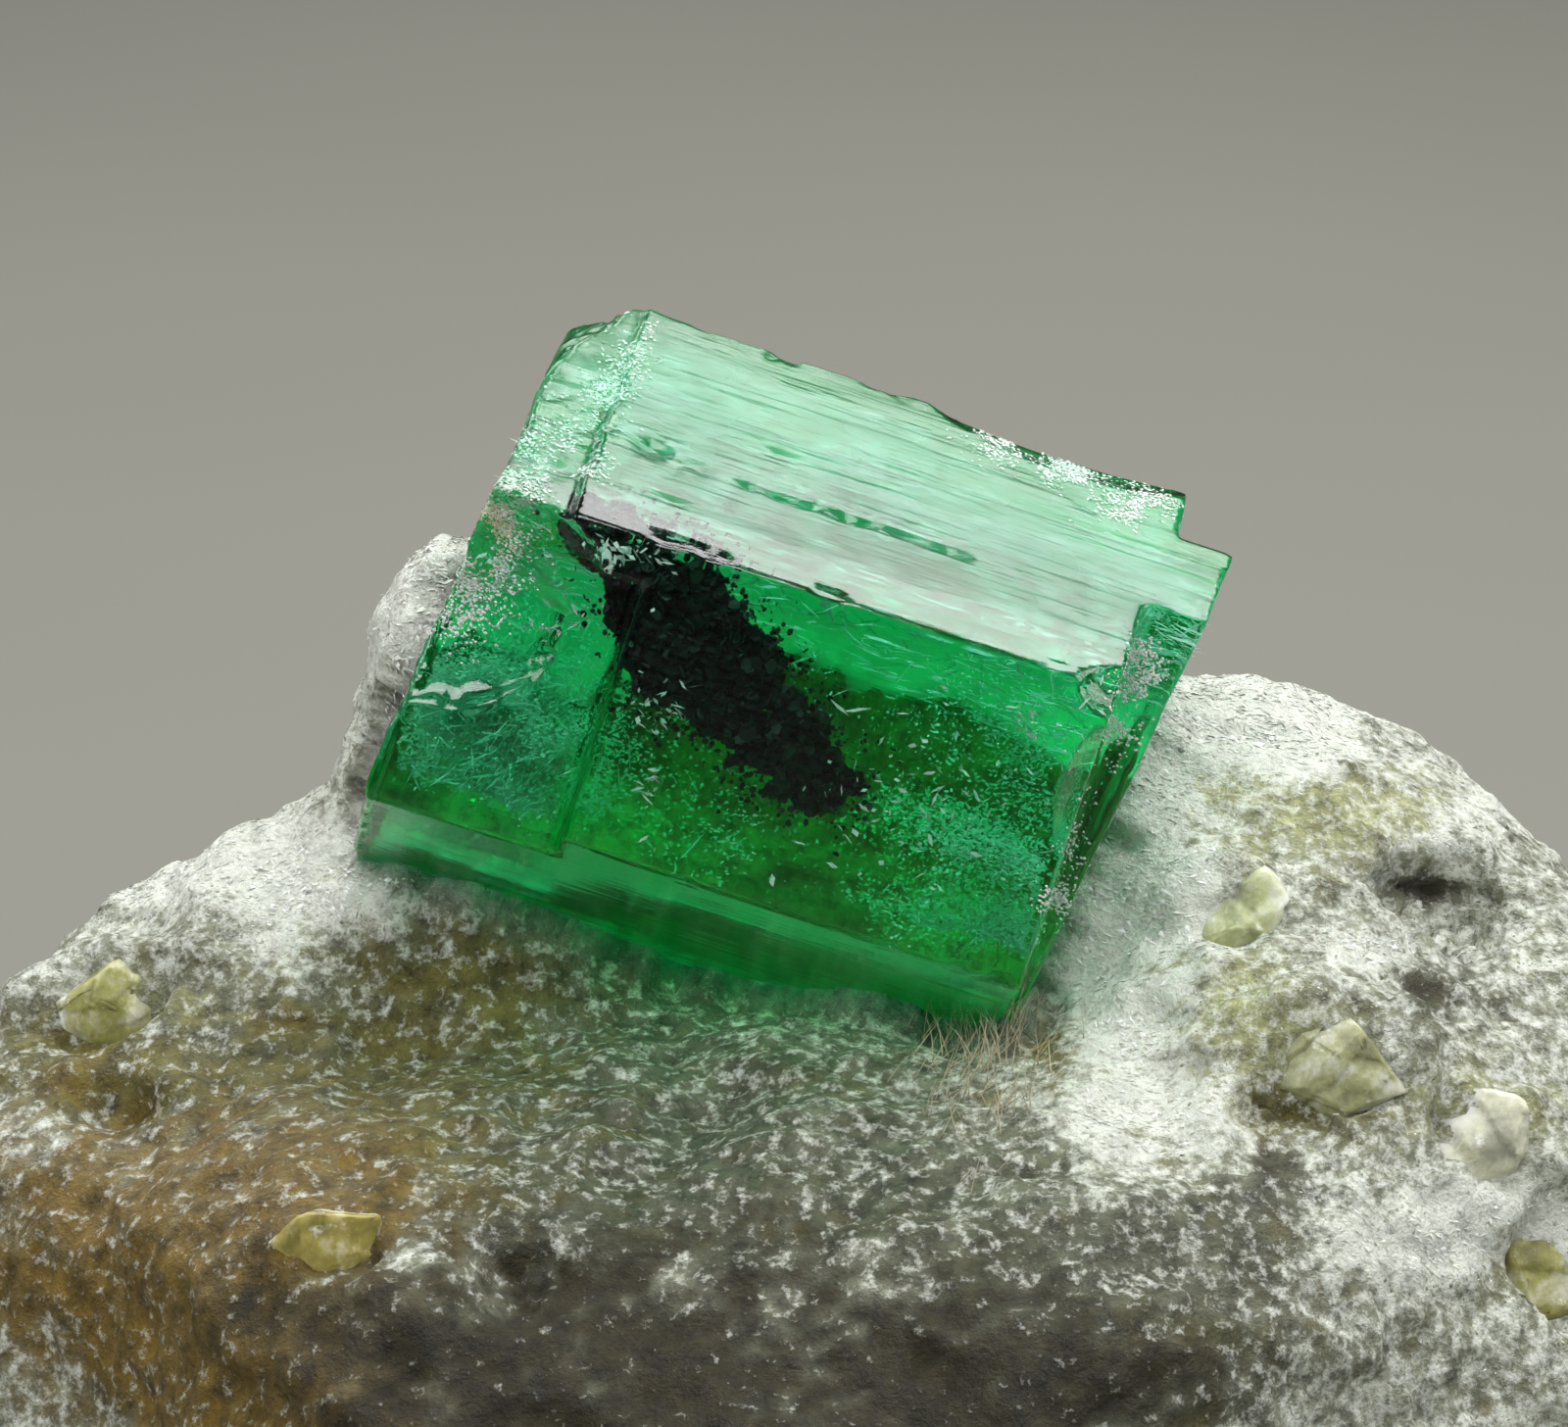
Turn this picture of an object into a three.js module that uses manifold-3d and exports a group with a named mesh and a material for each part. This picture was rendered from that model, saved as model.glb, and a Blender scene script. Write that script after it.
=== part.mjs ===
// Emerald in matrix: a short six-sided emerald prism that lies on its side in a lump of pale talc schist.
// Millimetres, +Z up. The origin lies under the middle of the rock, on the flat face that it rests on.
// The front of the piece, where the crystal shows best, looks towards -Y.

import * as THREE from "three";
import { ImprovedNoise } from "three/addons/math/ImprovedNoise.js";
import { mergeVertices } from "three/addons/utils/BufferGeometryUtils.js";
import Module from "manifold-3d";

const wasm = await Module();
wasm.setup();
const rippleNoise = new ImprovedNoise();
const rad = THREE.MathUtils.degToRad;

// Driving dimensions
const GAP = 0.3; // clear space between a piece and the seat that holds it
const BEYOND = 12; // reach of a cutting block past the piece that it trims
const LEAN = 18; // degrees that the front of the piece leans back from upright

const CRYSTAL = {
  side: 4.6, // side of the hexagon
  left: -4.95, // ends along the c axis, from the crystal's centre
  right: 5.85,
  height: 11.6, // centre above the base
  dip: 18, // degrees that the c axis runs down to the right
  roll: 13.3, // degrees that the front face turns down
};
const APOTHEM = CRYSTAL.side * Math.cos(rad(30));

// Steps and breaks of the crystal. x runs along the c axis, y up the front face, z out of the front face.
const STEPS = [
  { name: "right end stub", start: 4.75, towards: 1, face: 0, setback: 1.68 },
  { name: "back of the stub", start: 4.95, towards: 1, face: -120, setback: 0.95 },
];
const FRONT_PLATE = { left: -2.07, top: 1.6, thick: 0.8 }; // raised plate that makes most of the front face
const TOP_FLAKE = { start: -3.3, towards: -1, face: -60, setback: 0.16 };
const END_TRIMS = [
  { name: "broken left end", at: [-4.72, 0], turn: 174 },
  { name: "upper left corner", at: [-3.85, 4.15], turn: 135 },
  { name: "slanted right end", at: [5.3, 0], turn: -7 },
];
const CHIPS = [
  { name: "left scoop", at: [-4.6, 0.2, 5.0], radii: [2.79, 2.46, 2.3], ripple: 0.05, detail: 6 },
  { name: "right corner", at: [4.85, 2.45, 4.1], radii: [0.8, 0.6, 0.5], ripple: 0.05, detail: 3 },
  { name: "right edge", at: [5.0, 0.75, 4.35], radii: [0.7, 1.15, 0.9], ripple: 0.06, detail: 3 },
  { name: "back edge", at: [3.1, 4.75, -0.1], radii: [2.2, 0.5, 0.85], ripple: 0.09, detail: 4 },
];

// Dark mica streak inside the crystal, in the same frame
const STREAK = { at: [-0.7, 0.55, 2.95], radii: [2.75, 0.85, 0.42], slant: -28.3, ripple: 0.16, detail: 4 };

// Rock: ellipsoids that flow into each other, then broken back along rough planes.
// Their places run right and back from the crystal's centre, and up from the base.
const ROCK_HEART = [0.3, -0.8, 4.2];
const ROCK_LUMPS = [
  { name: "body", at: [0.3, -1.2, 2.2], radii: [13.6, 10.2, 4.7] },
  { name: "left mound", at: [-5.6, 2.2, 4.2], radii: [4.8, 5.0, 4.6] },
  { name: "left shoulder", at: [-9.4, 0.8, 3.0], radii: [4.4, 5.2, 3.6] },
  { name: "left tongue", at: [-4.75, 2.3, 8.6], radii: [1.45, 2.9, 4.5] },
  { name: "back rest", at: [0.2, 5.0, 6.2], radii: [7.0, 3.7, 5.2] },
  { name: "right hump", at: [6.9, 2.0, 5.9], radii: [4.7, 4.8, 4.6] },
  { name: "right shoulder", at: [10.7, 0.8, 4.6], radii: [4.3, 5.2, 3.6] },
  { name: "right spur", at: [7.0, -2.8, 4.6], radii: [3.8, 3.4, 3.7] },
  { name: "front left apron", at: [-5.6, -5.6, 3.0], radii: [6.2, 4.8, 3.3] },
  { name: "front right apron", at: [3.6, -6.0, 2.7], radii: [7.2, 4.6, 3.3] },
];
const ROCK_BREAKS = [
  { name: "back", through: [0.5, 8.5, 4.0], normal: [0.12, 0.95, 0.29] },
  { name: "left back", through: [-9.4, 5.4, 3.5], normal: [-0.72, 0.62, 0.31] },
  { name: "right", through: [13.3, 2.0, 3.5], normal: [0.9, 0.3, 0.3] },
  { name: "right front", through: [10.2, -6.6, 3.0], normal: [0.62, -0.76, 0.2] },
  { name: "left front", through: [-10.0, -6.2, 2.5], normal: [-0.7, -0.68, 0.2] },
];
const ROCK_BLEND = 1.5; // width over which neighbouring lumps flow together
const BREAK_BLEND = 0.7; // width over which a break's edge is rounded
const ROCK_ROUGH = [
  { scale: 4.6, height: 0.55 },
  { scale: 2.1, height: 0.26 },
  { scale: 1.05, height: 0.1 },
];
const LEDGE = { normal: [0.36, -0.25, 0.9], pitch: 2.3, height: 0.34, rise: 0.8, sway: 0.55, swayLength: 3.4 };
const PITS = [
  { at: [9.9, -3.3], radius: 1.25 }, // right and up from the crystal's centre, seen from the front
  { at: [7.2, -6.3], radius: 0.8 },
  { at: [-3.4, -8.4], radius: 0.9 },
  { at: [-9.6, -6.2], radius: 0.8 },
];
const PIT_SHAPE = { depth: 0.8, ripple: 0.2, detail: 4 }; // depth as a share of the radius
const ROCK_DETAIL = 17;
const MARCH_STEP = 0.1; // how closely the rock's face is found

// Yellow-green grains, placed as the pits are
const GRAINS = [
  { at: [6.7, -3.55], size: [1.6, 1.7, 1.5], turn: 12 },
  { at: [7.9, -5.55], size: [2.6, 2.0, 1.8], turn: 34 },
  { at: [10.1, -6.7], size: [2.2, 1.4, 1.5], turn: -8 },
  { at: [11.0, -8.6], size: [1.7, 1.8, 1.5], turn: 25 },
  { at: [-9.6, -4.9], size: [2.6, 1.7, 1.6], turn: -24 },
  { at: [-5.9, -8.0], size: [1.6, 1.0, 1.2], turn: 15 },
];
const GRAIN_SINK = 0.5; // depth of a grain's centre below the rock's face
const GRAIN_TIP = 20; // degrees that a grain tips forward

// Waves of the rough faces, and the seeds that place them
const RIPPLE_WAVES = { broad: 0.55, fine: 0.26, fineShare: 0.6 };
const CHIP_SEED = 0.37;
const STREAK_SEED = 1.7;
const ROCK_SEED = 7.3;
const WELD = 1e-4; // points closer than this are one

// Solids

function welded(geometry) {
  const bare = geometry.clone();
  bare.deleteAttribute("normal");
  bare.deleteAttribute("uv");
  return mergeVertices(bare, WELD);
}

function solidOf(geometry) {
  const merged = welded(geometry);
  return new wasm.Manifold(
    new wasm.Mesh({
      numProp: 3,
      vertProperties: merged.attributes.position.array,
      triVerts: new Uint32Array(merged.index.array),
    }),
  );
}

function geometryOf(solid) {
  const mesh = solid.getMesh();
  const geometry = new THREE.BufferGeometry();
  geometry.setAttribute("position", new THREE.BufferAttribute(mesh.vertProperties, 3));
  geometry.setIndex(new THREE.BufferAttribute(mesh.triVerts, 1));
  geometry.computeVertexNormals();
  return geometry;
}

// Smooth noise from -1 to 1 whose waves are about as long as scale.
function waver(point, scale, seed) {
  return rippleNoise.noise(point.x / scale + seed, point.y / scale - seed, point.z / scale + 2 * seed);
}

// A rough ellipsoid: ripple is the share of its radii by which the surface wavers.
function roughEllipsoid({ radii, ripple, detail }, seed = CHIP_SEED) {
  const geometry = new THREE.IcosahedronGeometry(1, detail);
  const place = geometry.attributes.position;
  const point = new THREE.Vector3();
  for (let i = 0; i < place.count; i++) {
    point.fromBufferAttribute(place, i);
    const broad = waver(point, RIPPLE_WAVES.broad, seed);
    const fine = waver(point, RIPPLE_WAVES.fine, seed);
    const swell = 1 + ripple * (broad + RIPPLE_WAVES.fineShare * fine);
    place.setXYZ(i, point.x * swell * radii[0], point.y * swell * radii[1], point.z * swell * radii[2]);
  }
  return geometry;
}

// A block that cuts away everything beyond x = 0 of its own frame, before it is turned and placed.
function cuttingBlock() {
  return new THREE.BoxGeometry(BEYOND, 2 * BEYOND, 2 * BEYOND).translate(BEYOND / 2, 0, 0);
}

// Crystal

function hexagonPrism(side, from, to) {
  const outline = new THREE.Shape();
  for (let corner = 0; corner < 6; corner++) {
    const angle = rad(30 + 60 * corner);
    const point = [-side * Math.cos(angle), side * Math.sin(angle)];
    if (corner) outline.lineTo(...point);
    else outline.moveTo(...point);
  }
  outline.closePath();
  const prism = new THREE.ExtrudeGeometry(outline, { depth: to - from, bevelEnabled: false });
  return prism.rotateY(rad(90)).translate(from, 0, 0);
}

// A block that takes away what lies beyond start along the c axis and above the setback of one prism face.
function stepBlock({ start, towards, face, setback }, grow) {
  const block = new THREE.BoxGeometry(BEYOND, 2 * BEYOND, BEYOND);
  const edge = start + towards * grow;
  block.translate(edge + (towards * BEYOND) / 2, 0, APOTHEM - setback + grow + BEYOND / 2);
  return block.rotateX(rad(face));
}

function endTrim({ at, turn }, grow) {
  const [x, y] = at;
  return cuttingBlock().translate(grow, 0, 0).rotateZ(rad(turn)).translate(x, y, 0);
}

// The prism with its end steps and trims, grown on every side for the seat that holds it.
function trimmedPrism(grow) {
  const side = CRYSTAL.side + grow / Math.cos(rad(30));
  let body = solidOf(hexagonPrism(side, CRYSTAL.left - grow, CRYSTAL.right + grow));
  for (const step of STEPS) body = body.subtract(solidOf(stepBlock(step, grow)));
  for (const trim of END_TRIMS) body = body.subtract(solidOf(endTrim(trim, grow)));
  return body;
}

function plateStep() {
  const block = new THREE.BoxGeometry(BEYOND, BEYOND, BEYOND);
  const { left, top, thick } = FRONT_PLATE;
  return block.translate(left - BEYOND / 2, top - BEYOND / 2, APOTHEM - thick + BEYOND / 2);
}

function crystalBody() {
  let body = trimmedPrism(0).subtract(solidOf(plateStep())).subtract(solidOf(stepBlock(TOP_FLAKE, 0)));
  for (const chip of CHIPS) body = body.subtract(solidOf(roughEllipsoid(chip).translate(...chip.at)));
  return body;
}

function streakLump(extra) {
  const radii = STREAK.radii.map((radius) => radius + extra);
  const lump = roughEllipsoid({ ...STREAK, radii }, STREAK_SEED);
  return solidOf(lump.rotateZ(rad(STREAK.slant)).translate(...STREAK.at));
}

const wholeCrystal = crystalBody();
const streakSolid = streakLump(0).intersect(wholeCrystal);
const crystalSolid = wholeCrystal.subtract(streakLump(GAP));

// Frames: the front frame has x right, y up and z out of the front, and the crystal turns inside it

const crystalPlace = new THREE.Group();
crystalPlace.position.set(0, 0, CRYSTAL.height);
crystalPlace.rotation.set(rad(90 - LEAN), 0, -rad(CRYSTAL.dip));
const crystalRoll = new THREE.Group();
crystalRoll.rotation.x = rad(CRYSTAL.roll);
crystalPlace.add(crystalRoll);
crystalPlace.updateMatrixWorld(true);

const frontUp = new THREE.Vector3(0, Math.sin(rad(LEAN)), Math.cos(rad(LEAN)));
const frontOut = new THREE.Vector3(0, -Math.cos(rad(LEAN)), Math.sin(rad(LEAN)));

function seenAt([right, up]) {
  return new THREE.Vector3(right, 0, CRYSTAL.height).addScaledVector(frontUp, up);
}

// Rock

function smoothMin(a, b, width) {
  const share = THREE.MathUtils.clamp(0.5 + (0.5 * (b - a)) / width, 0, 1);
  return THREE.MathUtils.lerp(b, a, share) - width * share * (1 - share);
}

function ellipsoidDistance(point, { at, radii }) {
  const x = point.x - at[0];
  const y = point.y - at[1];
  const z = point.z - at[2];
  const near = Math.hypot(x / radii[0], y / radii[1], z / radii[2]);
  const slope = Math.hypot(x / radii[0] ** 2, y / radii[1] ** 2, z / radii[2] ** 2);
  return slope > 0 ? (near * (near - 1)) / slope : -Math.min(...radii);
}

function beyondBreak(point, { through, normal }) {
  const outward = new THREE.Vector3(...normal).normalize();
  return outward.dot(point) - outward.dot(new THREE.Vector3(...through));
}

// Schist breaks into ledges: a slow rise and a short fall, over and over across the layers.
function ledgeHeight(point) {
  const across = point.dot(new THREE.Vector3(...LEDGE.normal).normalize());
  const turn = across / LEDGE.pitch + LEDGE.sway * waver(point, LEDGE.swayLength, ROCK_SEED);
  const share = turn - Math.floor(turn);
  const climb = share < LEDGE.rise ? share / LEDGE.rise : (1 - share) / (1 - LEDGE.rise);
  return LEDGE.height * (climb - 0.5);
}

function rockDistance(point) {
  const lumps = ROCK_LUMPS.map((lump) => ellipsoidDistance(point, lump));
  let distance = lumps.reduce((a, b) => smoothMin(a, b, ROCK_BLEND));
  for (const plane of ROCK_BREAKS) distance = -smoothMin(-distance, -beyondBreak(point, plane), BREAK_BLEND);
  for (const { scale, height } of ROCK_ROUGH) distance -= height * waver(point, scale, ROCK_SEED);
  return distance - ledgeHeight(point);
}

// The first point of the rock that a line from start meets.
function rockHit(start, direction, reach) {
  const point = start.clone();
  for (let run = 0; run < reach; run += MARCH_STEP) {
    if (rockDistance(point) < 0) return point;
    point.addScaledVector(direction, MARCH_STEP);
  }
  throw new Error("a line misses the rock");
}

function onRockFront(at) {
  const start = seenAt(at).addScaledVector(frontOut, 2 * BEYOND);
  return rockHit(start, frontOut.clone().negate(), 4 * BEYOND);
}

function rockLump() {
  const geometry = welded(new THREE.IcosahedronGeometry(1, ROCK_DETAIL));
  const place = geometry.attributes.position;
  const heart = new THREE.Vector3(...ROCK_HEART);
  for (let i = 0; i < place.count; i++) {
    const outward = new THREE.Vector3().fromBufferAttribute(place, i).normalize();
    const start = heart.clone().addScaledVector(outward, 2 * BEYOND);
    const hit = rockHit(start, outward.clone().negate(), 2 * BEYOND);
    place.setXYZ(i, hit.x, hit.y, hit.z);
  }
  return geometry;
}

function grainBlock({ size, turn }, extra) {
  const [wide, high, deep] = size.map((length) => length + 2 * extra);
  const block = new THREE.DodecahedronGeometry(1, 0).rotateX(rad(GRAIN_TIP)).rotateZ(rad(turn));
  block.scale(wide / 2, high / 2, deep / 2);
  return block.rotateX(rad(90 - LEAN));
}

function grainAt(grain, extra) {
  const centre = onRockFront(grain.at).addScaledVector(frontOut, -GRAIN_SINK);
  return solidOf(grainBlock(grain, extra).translate(centre.x, centre.y, centre.z));
}

function matrixSolid() {
  const halfSpace = new THREE.BoxGeometry(6 * BEYOND, 6 * BEYOND, 4 * BEYOND).translate(0, 0, 2 * BEYOND);
  let rock = solidOf(rockLump()).intersect(solidOf(halfSpace));
  const seat = geometryOf(trimmedPrism(GAP)).applyMatrix4(crystalRoll.matrixWorld);
  rock = rock.subtract(solidOf(seat));
  for (const { at, radius } of PITS) {
    const centre = onRockFront(at);
    const hollow = roughEllipsoid({ ...PIT_SHAPE, radii: [radius, radius, PIT_SHAPE.depth * radius] });
    rock = rock.subtract(solidOf(hollow.translate(centre.x, centre.y, centre.z)));
  }
  for (const grain of GRAINS) rock = rock.subtract(grainAt(grain, GAP));
  const bodies = rock.decompose().sort((a, b) => b.volume() - a.volume());
  return bodies[0];
}

// Scene graph

function piece(name, solid, colour, roughness) {
  const material = new THREE.MeshStandardMaterial({ color: colour, roughness, metalness: 0 });
  const mesh = new THREE.Mesh(geometryOf(solid), material);
  mesh.name = name;
  return mesh;
}

const emerald = piece("emerald_crystal", crystalSolid, "#04863a", 0.12);
emerald.material.transparent = true;
emerald.material.opacity = 0.6;
crystalRoll.add(emerald, piece("mica_inclusion", streakSolid, "#0b0d0b", 0.4));

const rockPieces = new THREE.Group();
rockPieces.add(piece("matrix", matrixSolid(), "#c9cdc0", 0.75));
GRAINS.forEach((grain, i) => {
  rockPieces.add(piece(`carbonate_grain_${i + 1}`, grainAt(grain, 0), "#a9a765", 0.35));
});

const specimen = new THREE.Group();
specimen.add(crystalPlace, rockPieces);
specimen.updateMatrixWorld(true);
const extent = new THREE.Box3().setFromObject(specimen, true);
const middle = extent.getCenter(new THREE.Vector3());
const foot = new THREE.Vector3(middle.x, middle.y, extent.min.z);
for (const group of [crystalPlace, rockPieces]) group.position.sub(foot);

export default specimen;
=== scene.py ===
import math

import bmesh
import bpy
import numpy as np
from mathutils import Matrix, Vector
from mathutils.bvhtree import BVHTree


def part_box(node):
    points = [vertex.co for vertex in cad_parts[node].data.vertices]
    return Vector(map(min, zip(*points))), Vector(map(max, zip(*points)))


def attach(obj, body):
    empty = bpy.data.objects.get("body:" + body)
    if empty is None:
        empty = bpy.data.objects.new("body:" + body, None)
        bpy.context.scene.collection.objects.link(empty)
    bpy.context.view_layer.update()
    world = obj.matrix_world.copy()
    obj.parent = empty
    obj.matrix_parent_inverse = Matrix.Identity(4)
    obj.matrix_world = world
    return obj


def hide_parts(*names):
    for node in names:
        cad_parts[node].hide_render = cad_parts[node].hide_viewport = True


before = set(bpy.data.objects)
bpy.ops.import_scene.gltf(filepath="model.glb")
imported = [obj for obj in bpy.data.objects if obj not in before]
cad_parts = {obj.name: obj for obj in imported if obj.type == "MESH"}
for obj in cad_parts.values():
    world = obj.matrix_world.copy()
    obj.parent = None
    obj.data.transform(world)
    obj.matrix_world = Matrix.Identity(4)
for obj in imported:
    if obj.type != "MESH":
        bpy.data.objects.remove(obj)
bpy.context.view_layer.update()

mm = 0.001  # all sizes below are in millimetres, and meshes are scaled once, when they become pieces
scene = bpy.context.scene
rad = math.radians


# mesh helpers

def meshFromArrays(name, points, faces):
    mesh = bpy.data.meshes.new(name)
    faces = np.asarray(faces, np.int32)
    corners = faces.shape[1]
    mesh.vertices.add(len(points))
    mesh.vertices.foreach_set("co", np.asarray(points, np.float32).ravel())
    mesh.loops.add(faces.size)
    mesh.loops.foreach_set("vertex_index", faces.ravel())
    mesh.polygons.add(len(faces))
    mesh.polygons.foreach_set("loop_start", np.arange(0, faces.size, corners, dtype=np.int32))
    mesh.update(calc_edges=True)
    mesh.validate()
    return mesh


def pointsOf(mesh, field="co"):
    points = np.empty(len(mesh.vertices) * 3)
    mesh.vertices.foreach_get(field, points)
    return points.reshape(-1, 3)


def normalsOf(mesh):
    return pointsOf(mesh, "normal")


def setPoints(mesh, points):
    mesh.vertices.foreach_set("co", np.asarray(points, np.float32).ravel())
    mesh.update()


def setValues(mesh, name, values, kind="FLOAT", field="value"):
    attribute = mesh.attributes.new(name, kind, "POINT")
    attribute.data.foreach_set(field, np.asarray(values, np.float32).ravel())


def setColours(mesh, name, colours):
    opaque = np.hstack([colours, np.ones((len(colours), 1))])
    setValues(mesh, name, opaque, "FLOAT_COLOR", "color")


def treeOf(mesh):
    faces = [tuple(p.vertices) for p in mesh.polygons]
    return BVHTree.FromPolygons([tuple(p) for p in pointsOf(mesh)], faces)


# nearest places on a mesh, the ways out there, and the gaps
def nearestOn(tree, points):
    hits = [tree.find_nearest(Vector(point)) for point in points]
    return [np.array([hit[k] for hit in hits]) for k in (0, 1, 3)]


def dot(first, second):
    return np.einsum("ij,ij->i", first, second)


# how deep each point lies inside a closed mesh, below zero outside it
def depthIn(tree, points):
    places, ways, gaps = nearestOn(tree, points)
    return np.where(dot(points - places, ways) < 0, gaps, -gaps)


def unit(vectors):
    return vectors / np.linalg.norm(vectors, axis=-1, keepdims=True).clip(1e-9)


# small closed forms, one unit long, wide and thick
octahedron = {
    "points": [(-0.5, 0, 0), (0.5, 0, 0), (0, -0.5, 0), (0, 0.5, 0), (0, 0, -0.5), (0, 0, 0.5)],
    "faces": [(0, 2, 4), (2, 1, 4), (1, 3, 4), (3, 0, 4), (2, 0, 5), (1, 2, 5), (3, 1, 5), (0, 3, 5)],
}
sliver = {
    "points": [(-0.5, -0.1, 0), (0.5, 0.1, 0.1), (0.1, 0.5, -0.4), (-0.1, -0.4, 0.5)],
    "faces": [(0, 2, 1), (0, 1, 3), (0, 3, 2), (1, 2, 3)],
}
sixths = [(0.5 * math.cos(rad(60 * k)), 0.5 * math.sin(rad(60 * k))) for k in range(6)]
hexagonPlate = {
    "points": [(x, y, -0.5) for x, y in sixths] + [(x, y, 0.5) for x, y in sixths],
    "faces": [(0, k + 1, k) for k in range(1, 5)] + [(6, k + 6, k + 7) for k in range(1, 5)]
    + [face for k in range(6)
       for face in ((k, (k + 1) % 6, (k + 1) % 6 + 6), (k, (k + 1) % 6 + 6, k + 6))],
}


# many copies of one form, each with its own place, turn and size, joined in one mesh
def scattered(name, form, places, along, ways, sizes):
    along = unit(along - ways * dot(along, ways)[:, None])
    axes = np.stack([along, np.cross(ways, along), ways], axis=1) * sizes[:, :, None]
    corners = np.array(form["points"])
    points = places[:, None] + np.einsum("ck,nkj->ncj", corners, axes)
    faces = np.array(form["faces"])[None] + len(corners) * np.arange(len(places))[:, None, None]
    return meshFromArrays(name, points.reshape(-1, 3), faces.reshape(-1, 3))


# random places on a mesh, more of them where density is high, and the way out at each
def spread(mesh, density, count, dice):
    mesh.calc_loop_triangles()
    corners = np.empty(len(mesh.loop_triangles) * 3, np.int32)
    mesh.loop_triangles.foreach_get("vertices", corners)
    corners = corners.reshape(-1, 3)
    points, normals = pointsOf(mesh), normalsOf(mesh)
    a, b, c = (points[corners[:, k]] for k in range(3))
    odds = np.linalg.norm(np.cross(b - a, c - a), axis=1) * density[corners].mean(axis=1)
    picked = corners[dice.choice(len(corners), count, p=odds / odds.sum())]
    share = dice.dirichlet((1, 1, 1), count)
    places = np.einsum("nk,nkj->nj", share, points[picked])
    return places, unit(np.einsum("nk,nkj->nj", share, normals[picked]))


def looseObject(mesh):
    thing = bpy.data.objects.new(mesh.name, mesh)
    scene.collection.objects.link(thing)
    return thing


# the mesh as a modifier leaves it
def modified(mesh, kind, settings):
    thing = looseObject(mesh)
    modifier = thing.modifiers.new("change", kind)
    for name, value in settings.items():
        setattr(modifier, name, value)
    bpy.context.view_layer.update()
    result = bpy.data.meshes.new_from_object(thing.evaluated_get(bpy.context.evaluated_depsgraph_get()))
    result.name = thing.name
    bpy.data.objects.remove(thing)
    bpy.data.meshes.remove(mesh)
    return result


def remeshed(mesh, voxel):
    return modified(mesh, "REMESH", {"mode": "VOXEL", "voxel_size": voxel})


def softened(mesh, rounds):
    points = pointsOf(mesh)
    edges = np.empty(len(mesh.edges) * 2, np.int32)
    mesh.edges.foreach_get("vertices", edges)
    a, b = edges.reshape(-1, 2).T
    count = np.bincount(np.r_[a, b], minlength=len(points)).clip(1)[:, None]
    for _ in range(rounds):
        total = np.zeros_like(points)
        for axis in range(3):
            total[:, axis] = np.bincount(np.r_[a, b], np.r_[points[b, axis], points[a, axis]], len(points))
        points = 0.5 * points + 0.5 * total / count
    setPoints(mesh, points)


def carved(mesh, cutters):
    for cutter in cutters:
        tool = looseObject(cutter)
        mesh = modified(mesh, "BOOLEAN", {"operation": "DIFFERENCE", "solver": "EXACT", "object": tool})
        bpy.data.objects.remove(tool)
    return mesh


# a finished mesh becomes a piece: millimetres turn to metres, and it rides on the one body
def piece(mesh, name, material, smooth=True):
    setPoints(mesh, pointsOf(mesh) * mm)
    mesh.polygons.foreach_set("use_smooth", np.full(len(mesh.polygons), smooth))
    thing = looseObject(mesh)
    thing.name = name
    mesh.materials.clear()
    mesh.materials.append(material)
    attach(thing, "root")
    print(name, len(mesh.polygons), "faces")
    return thing


# smooth random waves, one number from -1 to 1 for each point
def waves(points, scale, seed):
    spot = np.asarray(points) / scale + seed * 13.7
    cell = np.floor(spot).astype(np.int64)
    share = spot - cell
    share = share * share * (3 - 2 * share)
    total = np.zeros(len(spot))
    for corner in range(8):
        step = np.array([corner & 1, corner >> 1 & 1, corner >> 2 & 1])
        x, y, z = ((cell + step) & 0xFFFF).T.astype(np.uint64)
        mixed = (x * 73856093 ^ y * 19349663 ^ z * 83492791 ^ np.uint64(seed * 2654435)) & 0xFFFFFFFF
        for shift, factor in ((15, 2246822519), (13, 3266489917)):
            mixed = (mixed ^ mixed >> np.uint64(shift)) * np.uint64(factor) & np.uint64(0xFFFFFFFF)
        value = (mixed ^ (mixed >> np.uint64(16))).astype(float) / 0xFFFFFFFF * 2 - 1
        total += value * np.where(step, share, 1 - share).prod(axis=1)
    return total


def ramp(values, low, high):
    share = np.clip((values - low) / (high - low), 0, 1)
    return share * share * (3 - 2 * share)


# a solid's mesh, with the corners welded that its flat shading leaves apart
def weldedCadMesh(node):
    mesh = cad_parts[node].data.copy()
    setPoints(mesh, pointsOf(mesh) / mm)
    return modified(mesh, "WELD", {"merge_threshold": 0.002})


# the crystal's frame: x along its long axis, y up the front face, z out of the front face

crystal = {
    "side": 4.6, "left": -4.95, "right": 5.85,  # hexagon side, and the ends from the middle
    "lean": 18, "dip": 18, "roll": 13.3,  # degrees: leans back, dips to the right, turns down
    "stubStart": 4.75, "stubSetback": 1.68, "stubBackStart": 4.95, "stubBackSetback": 0.95,
    "plateLeft": -2.07, "plateTop": 1.6, "plateThick": 0.8,
    "flakeStart": -3.3, "flakeSetback": 0.16,
    "leftEnd": (-4.72, 0, 174), "upperLeft": (-3.85, 4.15, 135), "rightEnd": (5.3, 0, -7),  # x, y, turn
    "chips": [  # middle, radii
        ((-4.6, 0.2, 5), (2.79, 2.46, 2.3)),
        ((4.85, 2.45, 4.1), (0.8, 0.6, 0.5)),
        ((5, 0.75, 4.35), (0.7, 1.15, 0.9)),
        ((3.1, 4.75, -0.1), (2.2, 0.5, 0.85)),
    ],
    "chipDetail": 5, "chipRipple": 0.05, "voxel": 0.075,
}
apothem = crystal["side"] * math.cos(rad(30))
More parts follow.
